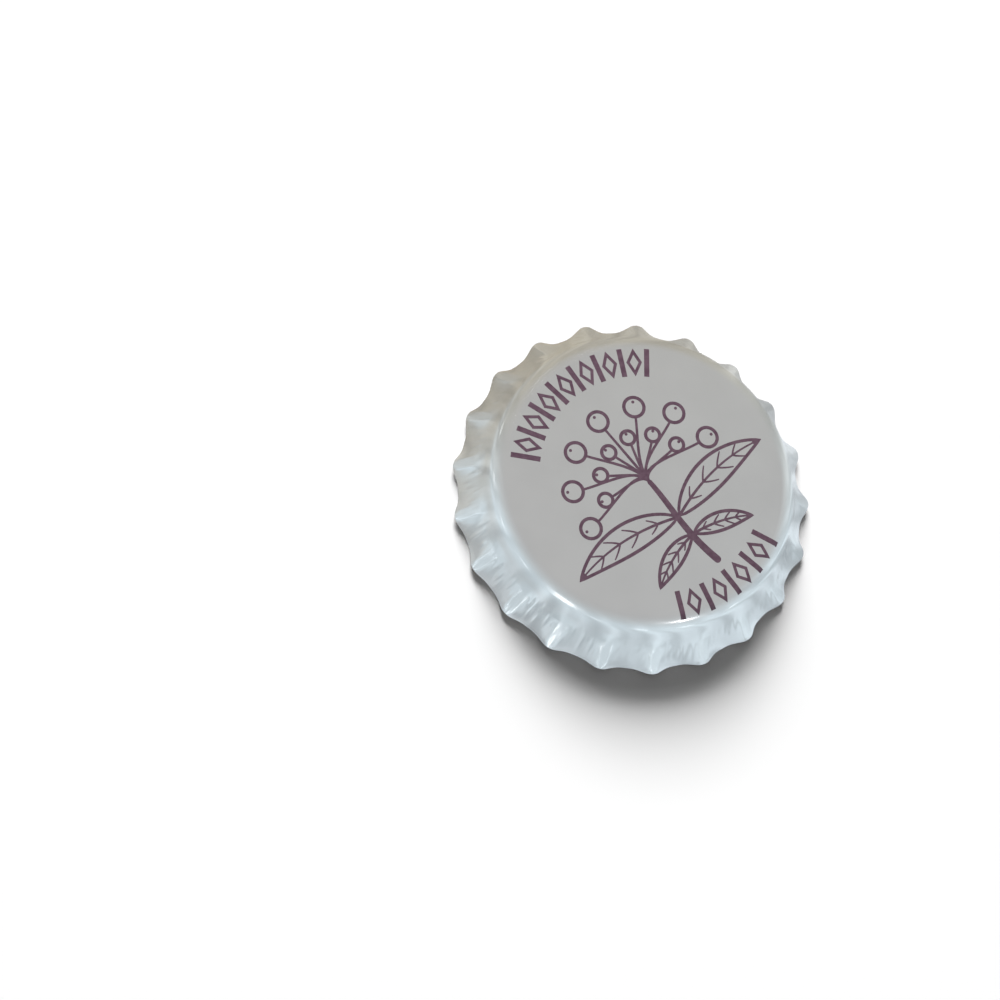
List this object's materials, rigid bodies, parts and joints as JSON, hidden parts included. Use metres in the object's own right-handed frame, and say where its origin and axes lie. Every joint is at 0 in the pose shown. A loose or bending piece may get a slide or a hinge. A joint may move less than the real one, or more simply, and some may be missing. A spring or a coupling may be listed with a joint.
{
  "type": "bottle cap",
  "caption": "Round drawn-metal crown cap with a fluted, flared skirt and a moulded sealing liner, crimped over a bottle's mouth to close it.",
  "frame": {"origin": "on the cap's axis, on the table under its rim", "axes": "+Z along the cap's axis, out through the panel; +X through the middle of one tooth of the skirt"},
  "size_m": [0.0319, 0.032, 0.006],
  "materials": {
    "lacquered_tinplate": "satin",
    "liner_compound": "matte"
  },
  "bodies": {
    "root": {"shell": "lacquered_tinplate", "liner": "liner_compound"}
  },
  "joints": []
}
